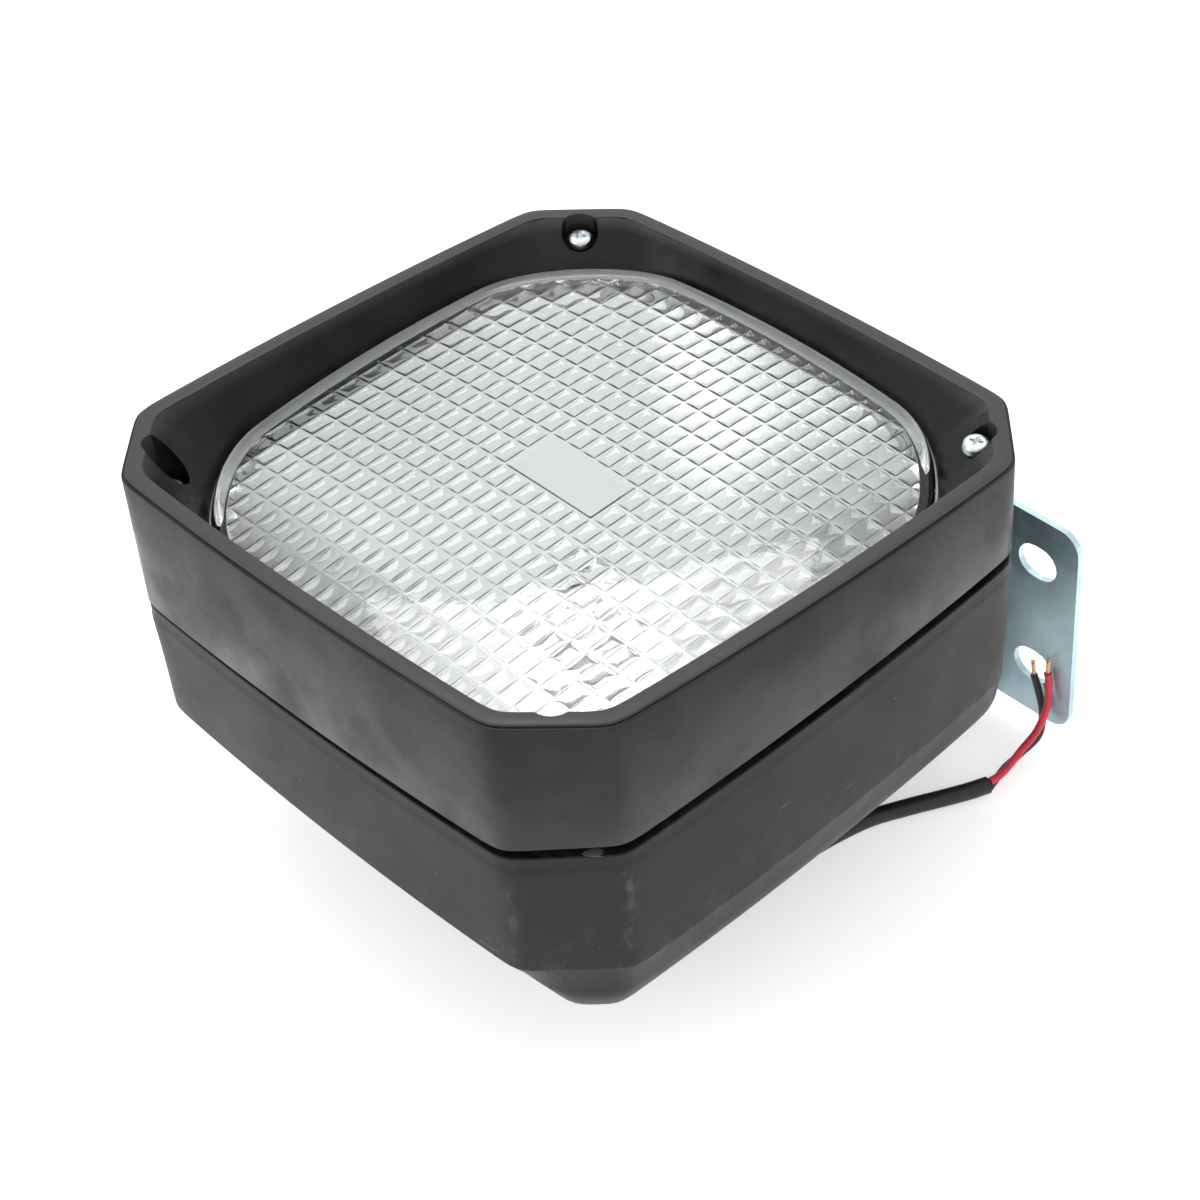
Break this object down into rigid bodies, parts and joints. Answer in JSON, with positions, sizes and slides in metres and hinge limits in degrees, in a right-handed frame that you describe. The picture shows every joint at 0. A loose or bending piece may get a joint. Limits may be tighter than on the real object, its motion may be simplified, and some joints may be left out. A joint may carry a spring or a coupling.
{
  "type": "fog light",
  "caption": "Square fog light with a fluted glass lens in a black wedge bezel, on a zinc plated tilting bracket with a slotted foot plate and a short two-core cable.",
  "frame": {"origin": "on the standing surface, below the middle of the light and its bracket", "axes": "+Z out of the lens, +Y from the lamp towards the bracket's foot plate, +X along the tilt axis"},
  "size_m": [0.1738, 0.1838, 0.1314],
  "materials": {
    "black_plastic": "satin, fine grained",
    "housing_plastic": "matt, dusty and scuffed",
    "glass": "clear pressed",
    "seal": "matt",
    "pale_seal": "matt",
    "mirror_coat": "mirror metallised",
    "quartz": "clear",
    "bulb_metal": "plain",
    "spring_steel": "drawn wire",
    "zinc": "bright zinc plated",
    "screw_zinc": "bright zinc plated",
    "brass": "plain",
    "tin": "tinned",
    "sheath": "satin",
    "core_red": "satin",
    "core_black": "satin",
    "copper": "bare strands"
  },
  "bodies": {
    "bracket": {"bracket": "zinc", "pivot_bolt": "screw_zinc", "pivot_nut": "screw_zinc", "washer_head": "screw_zinc", "washer_nut": "screw_zinc", "cable_sheath": "sheath", "core_red": "core_red", "core_black": "core_black", "conductor_red": "copper", "conductor_black": "copper"},
    "lamp": {"front_bezel": "black_plastic", "rear_housing": "housing_plastic", "lens": "glass", "lens_gasket": "pale_seal", "reflector": "mirror_coat", "bulb_glass": "quartz", "bulb_base": "bulb_metal", "cable_gland": "seal", "feed_lead": "core_red", "earth_lead": "core_black", "feed_terminal": "tin", "earth_terminal": "tin", "pivot_bush": "tin", "bezel_screw_1": "screw_zinc", "insert_1": "brass", "bezel_screw_2": "screw_zinc", "insert_2": "brass", "bezel_screw_3": "screw_zinc", "insert_3": "brass", "bezel_screw_4": "screw_zinc", "insert_4": "brass"},
    "bulb_clip": {"bulb_clip": "spring_steel"}
  },
  "joints": [
    {"name": "tilt", "type": "hinge", "parent": "bracket", "child": "lamp", "pos_m": [0, -0.00505, 0.0102], "axis": [1, 0, 0], "range_deg": [-5, 15]},
    {"name": "clip_release", "type": "hinge", "parent": "lamp", "child": "bulb_clip", "pos_m": [0, -0.02405, 0.03995], "axis": [-1, 0, 0], "range_deg": [0, 25], "stiffness_Nm_per_rad": 0.05, "springref_deg": -11.46}
  ]
}
